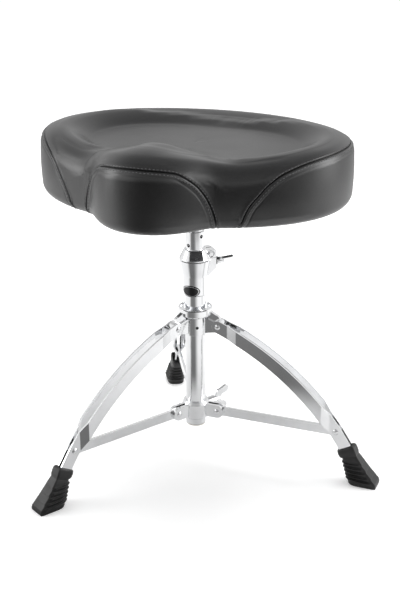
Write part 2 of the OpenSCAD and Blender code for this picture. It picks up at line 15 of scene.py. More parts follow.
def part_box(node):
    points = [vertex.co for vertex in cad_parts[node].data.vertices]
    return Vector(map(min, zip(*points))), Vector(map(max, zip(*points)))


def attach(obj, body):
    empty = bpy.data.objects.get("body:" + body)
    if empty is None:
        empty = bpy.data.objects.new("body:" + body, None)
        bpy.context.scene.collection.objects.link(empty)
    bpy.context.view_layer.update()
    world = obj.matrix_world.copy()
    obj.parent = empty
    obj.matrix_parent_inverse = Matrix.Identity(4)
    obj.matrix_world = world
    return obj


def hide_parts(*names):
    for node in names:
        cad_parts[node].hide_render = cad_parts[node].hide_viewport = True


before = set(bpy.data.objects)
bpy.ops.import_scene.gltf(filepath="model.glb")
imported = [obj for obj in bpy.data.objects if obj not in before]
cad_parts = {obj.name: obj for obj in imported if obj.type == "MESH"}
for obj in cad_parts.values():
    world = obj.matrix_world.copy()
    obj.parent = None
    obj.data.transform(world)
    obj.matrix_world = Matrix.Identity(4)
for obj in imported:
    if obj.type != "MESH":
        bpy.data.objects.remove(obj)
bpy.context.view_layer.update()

MM = 0.001


# ---------------------------------------------------------------- nodes and materials

def put(tree, socket, value):
    """Links an output to a socket, or sets the socket's value."""
    if isinstance(value, bpy.types.NodeSocket):
        tree.links.new(value, socket)
    elif isinstance(value, tuple) and len(value) == 3 and socket.type == "RGBA":
        socket.default_value = (*value, 1)
    else:
        socket.default_value = value


def add(tree, kind, inputs=None, **settings):
    """A new shader node. inputs is {name or index: number, colour or output}."""
    node = tree.nodes.new("ShaderNode" + kind)
    for name, value in settings.items():
        setattr(node, name, value)
    for key, value in (inputs or {}).items():
        put(tree, node.inputs[key], value)
    return node


def calc(tree, operation, *values):
    """A Math node's output."""
    return add(tree, "Math", dict(enumerate(values)), operation=operation).outputs[0]


def remap(tree, value, low, high, to_low=0.0, to_high=1.0):
    """value taken smoothly from low..high to to_low..to_high, and held at the ends."""
    inputs = {"Value": value, "From Min": low, "From Max": high, "To Min": to_low, "To Max": to_high}
    return add(tree, "MapRange", inputs, interpolation_type="SMOOTHSTEP").outputs["Result"]


def mix(tree, share, a, b):
    """Two colours mixed by share."""
    node = add(tree, "Mix", {"Factor": share}, data_type="RGBA")
    put(tree, node.inputs["A"], (*a, 1) if isinstance(a, tuple) else a)
    put(tree, node.inputs["B"], (*b, 1) if isinstance(b, tuple) else b)
    return node.outputs["Result"]


def new_material(name):
    """A material's node tree, its Principled node and the object's coordinates, in metres."""
    material = bpy.data.materials.new(name)
    material.use_nodes = True
    tree = material.node_tree
    shader = tree.nodes["Principled BSDF"]
    place = add(tree, "TexCoord").outputs["Object"]
    return material, tree, shader, place


def noise(tree, place, scale, detail=3.0, stretch=None):
    """A noise value with about scale features per metre."""
    if stretch:
        place = add(tree, "Mapping", {"Vector": place, "Scale": stretch}).outputs["Vector"]
    return add(tree, "TexNoise", {"Vector": place, "Scale": scale, "Detail": detail}).outputs["Fac"]


def bump(tree, height, depth, strength=1.0, normal=None):
    """The normal of a surface with bumps depth metres deep."""
    inputs = {"Height": height, "Distance": depth, "Strength": strength}
    if normal is not None:
        inputs["Normal"] = normal
    return add(tree, "Bump", inputs).outputs["Normal"]


def rounded(tree):
    """Normals with the solid's sharp edges rounded, and a mask of those edges."""
    soft = add(tree, "Bevel", {"Radius": 0.5 * MM}, samples=4).outputs["Normal"]
    true = add(tree, "NewGeometry").outputs["Normal"]
    same = add(tree, "VectorMath", {0: soft, 1: true}, operation="DOT_PRODUCT").outputs["Value"]
    return soft, remap(tree, same, 0.99, 0.85)


def metal(name, colour, worn, rough, edge_rough, scratch):
    """A plated or machined metal: smudged, finely scratched, and rubbed along its edges."""
    material, tree, shader, place = new_material(name)
    soft, edges = rounded(tree)
    smudge = noise(tree, place, 45, 5)
    fine = noise(tree, place, 900, 4, (1, 1, 0.15))
    wear = calc(tree, "MULTIPLY", edges, remap(tree, noise(tree, place, 220), 0.35, 0.65, 0.2, 1.0))
    cloudy = mix(tree, remap(tree, smudge, 0.35, 0.75), colour, tuple(0.93 * c for c in colour))
    put(tree, shader.inputs["Base Color"], mix(tree, wear, cloudy, worn))
    base_rough = remap(tree, smudge, 0.3, 0.8, rough, rough * 2.2)
    put(tree, shader.inputs["Roughness"], calc(tree, "MULTIPLY_ADD", wear, edge_rough, base_rough))
    put(tree, shader.inputs["Metallic"], 1.0)
    put(tree, shader.inputs["Normal"], bump(tree, fine, scratch, 0.25, soft))
    return material


def moulded(name, colour, rough, grain_scale, grain_depth, edge_colour, shine=0.5):
    """A moulded plastic or rubber: fine grain, slightly uneven colour and paler rubbed edges."""
    material, tree, shader, place = new_material(name)
    soft, edges = rounded(tree)
    patches = noise(tree, place, 70, 5)
    grain = noise(tree, place, grain_scale, 2)
    uneven = mix(tree, remap(tree, patches, 0.3, 0.7), colour, tuple(0.75 * c for c in colour))
    put(tree, shader.inputs["Base Color"], mix(tree, calc(tree, "MULTIPLY", edges, 0.6), uneven, edge_colour))
    put(tree, shader.inputs["Roughness"], remap(tree, patches, 0.2, 0.8, rough - 0.07, rough + 0.07))
    put(tree, shader.inputs["Specular IOR Level"], shine)
    put(tree, shader.inputs["Normal"], bump(tree, grain, grain_depth, 0.6, soft))
    return material


def vinyl_material():
    """Satin black upholstery vinyl: a pebbled grain with finer creases in it, and faint handling marks."""
    material, tree, shader, place = new_material("black_vinyl")
    cells = add(tree, "TexVoronoi", {"Vector": place, "Scale": 620.0, "Randomness": 0.9},
                feature="SMOOTH_F1").outputs["Distance"]
    creases = add(tree, "TexVoronoi", {"Vector": place, "Scale": 240.0}, feature="DISTANCE_TO_EDGE")
    valley = remap(tree, creases.outputs["Distance"], 0.0, 0.09, 0.0, 1.0)
    grain = calc(tree, "MULTIPLY_ADD", valley, 0.5, cells)
    marks = noise(tree, place, 14, 6)
    cloud = noise(tree, place, 5, 3)
    tone = mix(tree, remap(tree, marks, 0.3, 0.75), (0.0045, 0.0045, 0.0048), (0.0085, 0.0085, 0.009))
    # the grain's crease lines are painted darker: painted shade in the creases
    put(tree, shader.inputs["Base Color"], mix(tree, valley, (0.003, 0.003, 0.003), tone))
    uneven = remap(tree, cloud, 0.25, 0.75, 0.27, 0.34)
    put(tree, shader.inputs["Roughness"], calc(tree, "MULTIPLY_ADD", marks, 0.06, uneven))
    put(tree, shader.inputs["Specular IOR Level"], 1.0)
    put(tree, shader.inputs["Normal"], bump(tree, grain, 0.05 * MM, 0.35))
    return material


def thread_material():
    """Twisted black upholstery thread."""
    material, tree, shader, place = new_material("black_thread")
    twist = add(tree, "TexWave", {"Vector": place, "Scale": 900.0, "Distortion": 1.0, "Detail": 1.0},
                bands_direction="DIAGONAL").outputs["Fac"]
    put(tree, shader.inputs["Base Color"], mix(tree, twist, (0.045, 0.045, 0.045), (0.15, 0.15, 0.155)))
    put(tree, shader.inputs["Roughness"], remap(tree, twist, 0, 1, 0.4, 0.6))
    put(tree, shader.inputs["Normal"], bump(tree, twist, 0.1 * MM, 0.5))
    return material


def lining_material():
    """Black non-woven dust cloth: short fibres pressed flat, with a dot pattern from the press."""
    material, tree, shader, place = new_material("black_dust_cloth")
    fibres = noise(tree, place, 1400, 5, (1, 0.2, 1))
    cross = noise(tree, place, 1400, 5, (0.2, 1, 1))
    felt = calc(tree, "MAXIMUM", fibres, cross)
    dots = add(tree, "TexVoronoi", {"Vector": place, "Scale": 500.0, "Randomness": 0.1}).outputs["Distance"]
    pressed = remap(tree, dots, 0.12, 0.3)
    put(tree, shader.inputs["Base Color"], mix(tree, felt, (0.008, 0.008, 0.008), (0.05, 0.05, 0.052)))
    put(tree, shader.inputs["Roughness"], remap(tree, felt, 0.2, 0.8, 0.8, 0.95))
    put(tree, shader.inputs["Normal"], bump(tree, calc(tree, "MULTIPLY", felt, pressed), 0.2 * MM, 0.7))
    return material


def wood_material():
    """Bare plywood: thin plies of alternating tone with a long grain."""
    material, tree, shader, place = new_material("plywood")
    grain = noise(tree, place, 60, 6, (0.25, 6, 6))
    plies = add(tree, "TexWave", {"Vector": place, "Scale": 130.0, "Distortion": 0.4},
                bands_direction="Z").outputs["Fac"]
    plain = mix(tree, grain, (0.5, 0.34, 0.19), (0.7, 0.52, 0.33))
    put(tree, shader.inputs["Base Color"], mix(tree, calc(tree, "MULTIPLY", plies, 0.5), plain, (0.34, 0.21, 0.11)))
    put(tree, shader.inputs["Roughness"], remap(tree, grain, 0.2, 0.8, 0.55, 0.75))
    put(tree, shader.inputs["Normal"], bump(tree, grain, 0.2 * MM, 0.4))
    return material


def foam_material():
    """Open-cell upholstery foam."""
    material, tree, shader, place = new_material("open_cell_foam")
    cells = add(tree, "TexVoronoi", {"Vector": place, "Scale": 900.0}).outputs["Distance"]
    age = noise(tree, place, 12, 4)
    fresh = mix(tree, age, (0.72, 0.62, 0.34), (0.6, 0.48, 0.24))
    # the cells' hollows are painted darker: painted shade in the pores
    put(tree, shader.inputs["Base Color"], mix(tree, remap(tree, cells, 0.1, 0.6), (0.4, 0.32, 0.16), fresh))
    put(tree, shader.inputs["Roughness"], remap(tree, cells, 0, 0.6, 0.8, 0.95))
    put(tree, shader.inputs["Normal"], bump(tree, cells, 0.5 * MM, 0.8))
    return material


CHROME = metal("polished_chrome", (0.85, 0.855, 0.865), (0.36, 0.355, 0.35), 0.045, 0.1, 0.02 * MM)
STEEL = metal("zinc_plated_steel", (0.5, 0.5, 0.51), (0.38, 0.37, 0.35), 0.28, 0.15, 0.05 * MM)
BRASS = metal("machined_brass", (0.72, 0.52, 0.22), (0.8, 0.66, 0.4), 0.22, 0.1, 0.05 * MM)
NYLON = moulded("cream_nylon", (0.72, 0.69, 0.6), 0.5, 1500, 0.05 * MM, (0.8, 0.78, 0.72))
ENAMEL = moulded("black_enamel", (0.006, 0.006, 0.007), 0.16, 500, 0.01 * MM, (0.02, 0.02, 0.02))
RUBBER = moulded("black_rubber", (0.004, 0.004, 0.004), 0.4, 1600, 0.08 * MM, (0.05, 0.05, 0.05), shine=0.55)
VINYL = vinyl_material()
THREAD = thread_material()
LINING = lining_material()
WOOD = wood_material()
FOAM = foam_material()

FINISH_OF = {"steel": STEEL, "foam": FOAM, "rubber": RUBBER, "vinyl": VINYL, "lining": LINING,
             "black_badge": ENAMEL, "chrome": CHROME}
NODE_FINISH = {"tube_end_cap": NYLON, "clamp_bushing": NYLON, "post_guide_ring": NYLON,
               "clamp_badge": ENAMEL, "brake_shoe": BRASS, "bracket_screws": STEEL,
               "board_tee_nuts": STEEL, "upper_collar_pin": ENAMEL, "seat_board": WOOD}
for node_name, node_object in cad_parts.items():
    for material_slot in node_object.material_slots:
        material_slot.material = NODE_FINISH.get(node_name, CHROME)


# ---------------------------------------------------------------- meshes

def make_piece(name, points, faces, slot, body, replaced=()):
    """A mesh piece in the shared frame that rides on a body and takes its finish from a slot."""
    mesh = bpy.data.meshes.new(name)
    mesh.from_pydata([tuple(p) for p in points], [], [tuple(f) for f in faces])
    mesh.validate()
    mesh.polygons.foreach_set("use_smooth", [True] * len(mesh.polygons))
    mesh.materials.append(FINISH_OF[slot])
    piece = bpy.data.objects.new(name, mesh)
    bpy.context.scene.collection.objects.link(piece)
    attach(piece, body)
    if replaced:
        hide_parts(*replaced)
    return piece


def grid_faces(rows, columns, closed=False, start=0):
    """Quads over rows of points; closed joins the last column to the first."""
    faces = []
    for i in range(rows - 1):
        for j in range(columns if closed else columns - 1):
            k = (j + 1) % columns
            a, b = start + i * columns, start + (i + 1) * columns
            faces.append((a + j, a + k, b + k, b + j))
    return faces


def tube_faces(rings, columns, start=0):
    """Quads round a stack of closed rings, and a face over each end."""
    last = start + (rings - 1) * columns
    return grid_faces(rings, columns, True, start) + [tuple(start + k for k in range(columns - 1, -1, -1)),
                                                      tuple(last + k for k in range(columns))]


def smooth_step(t):
    """0 up to t = 0 and 1 from t = 1, with an even slope at both."""
    t = np.clip(t, 0, 1)
    return t * t * (3 - 2 * t)


def bell(x, width):
    """A bump of height 1 at x = 0 that fades over width."""
    return np.exp(-(x / width) ** 2)


# ---------------------------------------------------------------- the seat's surface

top_low, top_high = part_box("cover_top_panel")
base_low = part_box("cover_base_panel")[0]
board_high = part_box("seat_board")[1]
half_width, back, nose = top_high.x, top_high.y, -top_low.y
seat_z = base_low.z
seam_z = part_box("cover_side_panel")[1].z + 2 * MM
wing_front = 0.94 * back             # from the post to the front edge of the wings
nose_half_width = 0.519 * half_width  # of the ellipse that the nose is the end of
body_power, nose_power, blend_power = 2.05, 2.1, 24

edge_radius = 14.5 * MM   # round lower edge
tuck = 5.5 * MM           # how far the vinyl runs under the seat past that edge
roll_depth = 25 * MM      # from the edge to the crest of the rolled rim
dish_z = seam_z - 10 * MM
centre_z = seam_z - 12 * MM
hump = {"y": -0.683 * nose, "height": 29 * MM, "half_width": 64 * MM, "front": 72 * MM, "back": 60 * MM}

# Bands of the parameter s along a section, from under the seat up to its middle:
# 0 to 1 the lower edge, 1 to 2 the wall, 2 to 3 the rolled rim, 3 to 4 the top.


def outline(az):
    """Distance from the post's axis to the seat's edge: a wide body joined smoothly to the nose."""
    c, s = np.abs(np.cos(az)), np.sin(az)
    depth = np.where(s > 0, back, wing_front)
    body = ((c / half_width) ** body_power + (np.abs(s) / depth) ** body_power) ** (-1 / body_power)
    front = ((c / nose_half_width) ** nose_power + (np.abs(s) / nose) ** nose_power) ** (-1 / nose_power)
    front = np.where(s < 0, front, 0)
    return (body ** blend_power + front ** blend_power) ** (1 / blend_power)


def from_nose(az):
    """Angle from the nose's direction, 0 to 180 degrees."""
    turned = (np.degrees(az) + 90 + 180) % 360 - 180
    return np.abs(turned)


def crest_height(phi):
    """Height of the rolled rim, highest at the wings and low across the front."""
    return seam_z + 6 * MM + 4 * MM * bell(phi - 85, 28) - 9 * MM * (1 - smooth_step((phi - 25) / 50))


def slope_depth(phi):
    """From the rim's crest to the foot of its inner slope."""
    return 38 * MM + 16 * MM * bell(phi - 180, 60)


def fall(u):
    """0 at the crest to 1 in the dish: rounded at the top, with a tighter bend at the foot."""
    bend = 0.09
    return 1 - bend * np.logaddexp(0, (1 - np.clip(u, 0, 3) ** 1.5) / bend)


def roll_radius(phi):
    return 17 * MM + 9 * MM * bell(phi - 42, 24) + 3 * MM * bell(phi, 25)


def hump_height(x, y):
    """The pommel: a smooth hump on the nose."""
    dy = y - hump["y"]
    along = np.where(dy < 0, hump["front"], hump["back"])
    return hump["height"] * np.exp(-(x / hump["half_width"]) ** 2 - (dy / along) ** 2)


def seat_surface(az, s):
    """Points of the seat at azimuth az and section parameter s."""
    az, s = np.broadcast_arrays(np.asarray(az, float), np.asarray(s, float))
    edge, phi = outline(az), from_nose(az)
    crest, roll = crest_height(phi), roll_radius(phi)
    foot, top = seat_z + edge_radius, crest - roll
    round_under = np.clip((s - 0.3) / 0.7, 0, 1) * math.pi / 2
    round_over = np.clip(s - 2, 0, 1) * math.pi / 2
    u = np.clip(s - 3, 0, 1)
    inset_top = roll_depth + (edge - roll_depth) * (0.35 * u + 0.65 * u * u)
    below = edge_radius * (1 - np.sin(round_under)) + np.clip(0.3 - s, 0, 1) / 0.3 * tuck
    inset = np.select([s < 1, s < 2, s < 3],
                      [below, -1 * MM * np.sin(math.pi * (s - 1)), roll_depth * (1 - np.cos(round_over))],
                      inset_top)
    z_under = foot - edge_radius * np.cos(round_under) + smooth_step((0.3 - s) / 0.1) * 1.8 * MM
    z_top = (crest - (crest - dish_z) * fall((inset - roll_depth) / slope_depth(phi))
             - (dish_z - centre_z) * smooth_step((inset - 50 * MM) / 0.1))
    z = np.select([s < 1, s < 2, s < 3],
                  [z_under, foot + (top - foot) * (s - 1), top + roll * np.sin(round_over)], z_top)
    r = edge - inset
    x, y = r * np.cos(az), r * np.sin(az)
    return np.stack([x, y, z + hump_height(x, y) * smooth_step(s - 1)], -1)


def seat_normals(az, s):
    """Outward unit normals of the seat's surface."""
    d_az, d_s = 1e-3, 2e-3
    along = seat_surface(az + d_az, s) - seat_surface(az - d_az, s)
    up = seat_surface(az, np.minimum(s + d_s, 3.999)) - seat_surface(az, np.maximum(s - d_s, 0))
    normal = np.cross(along, up)
    return normal / np.maximum(np.linalg.norm(normal, axis=-1, keepdims=True), 1e-12)


# ---------------------------------------------------------------- the seat's seams

def curve_through(knots):
    """A smooth monotone function through (angle, s) knots."""
    x, y = np.array(knots, float).T
    slope = np.diff(y) / np.diff(x)
    inner = np.where(slope[:-1] * slope[1:] > 0, 2 * slope[:-1] * slope[1:] / (slope[:-1] + slope[1:] + 1e-12), 0)
    tangent = np.concatenate([[slope[0]], inner, [slope[-1]]])

    def value(q):
        q = np.clip(q, x[0], x[-1])
        i = np.clip(np.searchsorted(x, q) - 1, 0, len(x) - 2)
        h = x[i + 1] - x[i]
        t = (q - x[i]) / h
        return (y[i] * (1 + 2 * t) * (1 - t) ** 2 + y[i + 1] * t * t * (3 - 2 * t)
                + h * tangent[i] * t * (1 - t) ** 2 - h * tangent[i + 1] * t * t * (1 - t))
    return value


NOSE_END, SIDE_START = 31.6, 39.6    # where the seams run under the edge, in degrees from the nose
nose_seam = curve_through([(0, 2.46), (8, 2.45), (14.5, 2.41), (20.5, 2.16), (25.8, 1.76), (29.2, 1.3),
                           (31.1, 0.65), (NOSE_END, 0)])
side_seam = curve_through([(SIDE_START, 0), (40.2, 0.62), (43.5, 1.4), (46.8, 1.72), (51, 2.03), (57, 2.26),
                           (68, 2.4), (79, 2.43), (110, 2.36), (180, 2.34)])


def seam_at(az):
    """Where the top panel starts at an azimuth: at the nose seam, at the side seam, or under the edge."""
    phi = from_nose(az)
    return np.select([phi < NOSE_END, phi > SIDE_START], [nose_seam(phi), side_seam(phi)], 0.0)


def azimuths(first, last):
    """Azimuths from first to last in degrees from the nose, closer together where the seams are steep."""
    coarse, fine = 0.6, 0.2
    out = [first]
    while out[-1] < last - 1e-6:
        near = min(abs(abs(180 - (abs(out[-1]) % 360)) - 180), 180)
        step = fine if 22 <= near <= 52 else coarse
        stops = [q for q in (-SIDE_START, -NOSE_END, NOSE_END, SIDE_START, 360 - SIDE_START, last)
                 if q > out[-1] + 1e-6]
        out.append(min(out[-1] + step, stops[0]))
    return np.radians(np.array(out) - 90)


def seam_line(first, last):
    """A seam as (azimuth, s) pairs, from first to last in degrees from the nose."""
    step = 0.25
    q = np.arange(first, last + step / 2, step)
    az = np.radians(q - 90)
    phi = from_nose(az)
    s = nose_seam(phi) if last <= NOSE_END else side_seam(phi)
    return az, s


nose_line = seam_line(-NOSE_END, NOSE_END)
side_line = seam_line(SIDE_START, 360 - SIDE_START)


def evenly(points, step):
    """A polyline's points, step apart."""
    gaps = np.linalg.norm(np.diff(points, axis=0), axis=1)
    run = np.concatenate([[0], np.cumsum(gaps)])
    at = np.arange(0, run[-1], step)
    return np.stack([np.interp(at, run, points[:, k]) for k in range(3)], 1)


seam_points = {"nose": evenly(seat_surface(*nose_line), 0.5 * MM),
               "side": evenly(seat_surface(*side_line), 0.5 * MM)}


class SeamField:
    """Distance from any point to the nearest seam, and how far along the seam that is."""

    def __init__(self, lines):
        points = np.concatenate(lines)
        self.run = np.concatenate([np.arange(len(line)) * 0.5 * MM for line in lines])
        self.tree = KDTree(len(points))
        for i, p in enumerate(points):
            self.tree.insert(p, i)
        self.tree.balance()

    def look(self, points):
        found = [self.tree.find(p) for p in points.reshape(-1, 3)]
        distance = np.array([f[2] for f in found]).reshape(points.shape[:-1])
        run = self.run[[f[1] for f in found]].reshape(points.shape[:-1])
        return distance, run


seams = SeamField(list(seam_points.values()))


# ---------------------------------------------------------------- cloth simulation of the cover

SIM_COLUMNS, SIM_ROWS = 168, 46
SIM_FIRST, SIM_LAST = 0.1, 3.93    # the section parameters of its first and last row
SIM_STEPS = 20
PUFF_LIMIT = 3.5 * MM     # the most that the cover swells beyond the foam's shape


def sim_grid():
    """Azimuths and section parameters of the coarse grid."""
    return (np.linspace(0, 2 * math.pi, SIM_COLUMNS, endpoint=False)[None, :],
            np.linspace(SIM_FIRST, SIM_LAST, SIM_ROWS)[:, None])


def simulated_puff():
    """How far the cover swells at each point of a coarse grid, from a cloth simulation under pressure.

    The cover is held along its seams and under its edge, as sewing and staples hold it, and presses out
    in between.
    """
    az, s = sim_grid()
    points = seat_surface(az, s)
    flat = points.reshape(-1, 3)
    faces = grid_faces(SIM_ROWS, SIM_COLUMNS, closed=True)
    faces.append(tuple(range(SIM_COLUMNS - 1, -1, -1)))
    faces.append(tuple((SIM_ROWS - 1) * SIM_COLUMNS + j for j in range(SIM_COLUMNS)))
    mesh = bpy.data.meshes.new("cover_cloth")
    mesh.from_pydata([tuple(p) for p in flat], [], faces)
    cloth_object = bpy.data.objects.new("cover_cloth", mesh)
    bpy.context.scene.collection.objects.link(cloth_object)
    gap, _ = seams.look(points)
    hold = np.maximum(bell(gap, 9 * MM), smooth_step((1.1 - s) / 0.5) + 0 * gap)
    hold = np.clip(0.12 + 0.88 * hold, 0, 1).ravel()
    group = cloth_object.vertex_groups.new(name="hold")
    for i, weight in enumerate(hold):
        group.add([i], float(weight), "REPLACE")
    modifier = cloth_object.modifiers.new("cloth", "CLOTH")
    cloth = modifier.settings
    cloth.quality = 6
    cloth.mass = 0.3
    cloth.tension_stiffness = cloth.compression_stiffness = 12
    cloth.shear_stiffness = 5
    cloth.bending_stiffness = 0.6
    cloth.vertex_group_mass = "hold"
    cloth.pin_stiffness = 1.0
    cloth.use_pressure = True
    cloth.uniform_pressure_force = 5
    cloth.effector_weights.gravity = 0
    scene = bpy.context.scene
    for step in range(1, SIM_STEPS + 1):
        scene.frame_set(step)
    shown = cloth_object.evaluated_get(bpy.context.evaluated_depsgraph_get())
    moved = np.array([v.co for v in shown.data.vertices]).reshape(points.shape)
    scene.frame_set(1)
    bpy.data.objects.remove(cloth_object)
    rise = ((moved - points) * seat_normals(az, s)).sum(-1)
    return np.clip(rise, -1 * MM, PUFF_LIMIT)


puff_grid = simulated_puff()
print("cover swells by", np.round(puff_grid.min() / MM, 2), "to", np.round(puff_grid.max() / MM, 2), "mm")


def puff_at(az, s):
    """The swelling at any point, read from the coarse grid."""
    column = (az % (2 * math.pi)) / (2 * math.pi) * SIM_COLUMNS
    row = np.clip((s - SIM_FIRST) / (SIM_LAST - SIM_FIRST) * (SIM_ROWS - 1), 0, SIM_ROWS - 1.001)
    j, i = np.floor(column).astype(int) % SIM_COLUMNS, np.floor(row).astype(int)
    u, v = column - np.floor(column), row - np.floor(row)
    k = (j + 1) % SIM_COLUMNS
    low = puff_grid[i, j] * (1 - u) + puff_grid[i, k] * u
    high = puff_grid[i + 1, j] * (1 - u) + puff_grid[i + 1, k] * u
    return low * (1 - v) + high * v


# ---------------------------------------------------------------- the seat's panels

STITCH_PITCH = 4.6 * MM
STITCH_GAP = 7.5 * MM     # from a seam to the row of top stitches on the lower panel
NEAR_GAP = 2.6 * MM       # from a seam to the row on the top panel


SEAM_TURN = 3 * MM        # how far a panel's cut edge is turned in behind its seam
TOP_END = 3.985           # section parameter of the top panel's innermost ring


def cover_points(az, s, lower):
    """The finished cover: the seat's surface, swollen, drawn in at the seams and puckered beside them.

    The lower panels also carry the furrow that a row of top stitches lies in.
    """
    base = seat_surface(az, s)
    gap, run = seams.look(base)
    normal = seat_normals(az, s)
    groove = 1.7 * MM * bell(gap, 0.9 * MM)
    flange = 0.3 * MM * bell(gap - 3.0 * MM, 2.0 * MM)
    pucker = 0.16 * MM * (0.5 + 0.5 * np.cos(run / STITCH_PITCH * 2 * math.pi)) * bell(gap - 2 * MM, 5 * MM)
    rise = puff_at(az, s) + flange - groove - pucker
    if lower:
        rise = rise - 0.4 * MM * bell(gap - STITCH_GAP, 1.0 * MM)
    return base + normal * rise[..., None]


def lower_panel(name, node, az, seam, rows):
    """A panel from under the seat up to its seam, with its rows closer together towards the seam."""
    t = np.linspace(0, 1, rows)[:, None]
    t = 0.6 * t + 0.4 * (1 - (1 - t) ** 2)
    s = seam(from_nose(az))[None, :] * t
    points = cover_points(np.broadcast_to(az, s.shape), s, True)
    turned = points[-1] - SEAM_TURN * seat_normals(az, s[-1])
    points = np.concatenate([points, turned[None]])
    return make_piece(name, points.reshape(-1, 3), grid_faces(rows + 1, len(az)), "vinyl", "seat", [node])


def top_panel():
    """The closed panel above both seams, with its rows closer together towards them."""
    rows = 120
    az = azimuths(-180, 180)[:-1]
    low = seam_at(az)
    t = np.linspace(0, 1, rows)[:, None]
    t = 0.5 * t + 0.5 * t * t
    s = low[None, :] + (TOP_END - low)[None, :] * t
    points = cover_points(np.broadcast_to(az, s.shape), s, False)
    turned = points[0] - SEAM_TURN * seat_normals(az, s[0])
    points = np.concatenate([turned[None], points])
    faces = grid_faces(rows + 1, len(az), closed=True)
    middle = np.array([[0, 0, points[-1, :, 2].mean()]])
    last, centre = rows * len(az), (rows + 1) * len(az)
    faces += [(last + j, last + (j + 1) % len(az), centre) for j in range(len(az))]
    points = np.concatenate([points.reshape(-1, 3), middle])
    return make_piece("cover_top", points, faces, "vinyl", "seat", ["cover_top_panel"])


def build_stitches(name, panel_object, line, side, gap):
    """A row of top stitches beside a seam, lying on a panel: below the seam for side 1, above it for side -1."""
    mesh = panel_object.data
    surface = BVHTree.FromPolygons([v.co for v in mesh.vertices], [p.vertices for p in mesh.polygons])
    tangent = np.gradient(line, axis=0)
    tangent /= np.linalg.norm(tangent, axis=1, keepdims=True)
    path = []
    for p, t in zip(line[::4], tangent[::4]):
        near = surface.find_nearest(Vector(p))
        shift = Vector(t).cross(near[1]).normalized() * side * gap
        path.append(surface.find_nearest(Vector(p) + shift)[0])
    parts = 5    # of the path to a stitch's pitch; a stitch spans all but one of them
    path = evenly(np.array(path), STITCH_PITCH / parts)
    points, faces = [], []
    rings, sides, thick = 5, 6, 0.55 * MM
    below_seat = Vector((0, 0, seam_z - 0.2))
    for first in range(parts, len(path) - 2 * parts, parts):
        start, end = Vector(path[first]), Vector(path[first + parts - 1])
        middle, normal = surface.find_nearest((start + end) / 2)[:2]
        along = (end - start) * 0.86
        # a stitch on a kink of the path or on the turned-in edge is left out
        if along.length < 0.3 * STITCH_PITCH or normal.dot(middle - below_seat) < 0:
            continue
        across = along.cross(normal).normalized()
        base = len(points)
        for i in range(rings):
            u = i / (rings - 1)
            bow = math.sin(math.pi * u)
            centre = middle + along * (u - 0.5) + normal * (0.55 * bow - 0.25) * MM
            width = thick * (0.35 + 0.65 * bow ** 0.5)
            for k in range(sides):
                turn = 2 * math.pi * k / sides
                points.append(centre + (across * math.cos(turn) + normal * 0.7 * math.sin(turn)) * width)
        faces += tube_faces(rings, sides, base)
    piece = make_piece(name, points, faces, "vinyl", "seat")
    piece.data.materials[0] = THREAD
    return piece


def build_foam():
    """The foam block that fills the cover, on top of the board."""
    az = np.linspace(0, 2 * math.pi, 180, endpoint=False)
    s = np.concatenate([np.linspace(0.9, 2, 8), np.linspace(2.1, 3, 10), np.linspace(3.08, 3.95, 20)])
    points = seat_surface(az[None, :], s[:, None]) - 4.5 * MM * seat_normals(az[None, :], s[:, None])
    floor_z = board_high.z + 1.4 * MM
    points[..., 2] = np.maximum(points[..., 2], floor_z + 2 * MM)
    under = points[0] * np.array([0.97, 0.97, 1])
    under[:, 2] = floor_z
    points = np.concatenate([under[None], points])
    make_piece("foam_pad", points.reshape(-1, 3), tube_faces(len(points), len(az)), "foam", "seat", ["seat_foam"])


def build_lining():
    """The dust cloth under the seat: a thin sheet, hemmed and slightly slack between its staples."""
    inset, thick, lift, staples = 16.5 * MM, 0.9 * MM, 0.35 * MM, 34
    az = np.linspace(0, 2 * math.pi, 340, endpoint=False)
    reach = outline(az) - inset
    taut_r = 70 * MM    # the sheet is taut inside this radius, over the bracket's plate
    shares = np.concatenate([[0.1], np.linspace(0.35, 0.94, 16), [0.965, 0.985, 1.0]])
    rings = []
    for share in shares:
        r = reach * share
        slack = 0.35 * MM * smooth_step((r - taut_r) / (30 * MM)) * np.sin(az * staples) * np.sin(az * 5 + share * 9)
        hem = 0.5 * MM * bell(share - 0.965, 0.02)
        rings.append(np.stack([r * np.cos(az), r * np.sin(az), base_low.z + lift + slack - hem], 1))
    bottom = np.array(rings)
    top = bottom[::-1].copy()
    top[..., 2] = base_low.z + thick + lift
    points = np.concatenate([bottom, top])
    faces = [tuple(reversed(f)) for f in tube_faces(len(points), len(az))]
    make_piece("dust_lining", points.reshape(-1, 3), faces, "lining", "seat", ["cover_base_panel"])
    # a staple's wire in millimetres: (along, up) from its middle
    path = [(-5.2, 0.9), (-5, 0.1), (-4.4, -0.35), (0, -0.42), (4.4, -0.35), (5, 0.1), (5.2, 0.9)]
    sides, half_wide, half_thick = 6, 0.6, 0.3
    wires, wire_faces = [], []
    for n in range(staples):
        a = 2 * math.pi * (n + 0.25) / staples
        r = float(outline(np.array(a))) - inset - 7 * MM
        place = Matrix.Translation((r * math.cos(a), r * math.sin(a), base_low.z)) @ Matrix.Rotation(a, 4, "Z")
        wire_faces += tube_faces(len(path), sides, len(wires))
        for i, (along, up) in enumerate(path):
            lean = 0.06 * (i - len(path) // 2)    # turns the rings with the wire's bends
            for k in range(sides):
                turn = 2 * math.pi * k / sides
                local = Vector((half_wide * math.cos(turn), along + lean * math.sin(turn),
                                up + half_thick * math.sin(turn)))
                wires.append(place @ (local * MM))
    make_piece("lining_staples", wires, wire_faces, "steel", "seat")


# ---------------------------------------------------------------- rubber boots

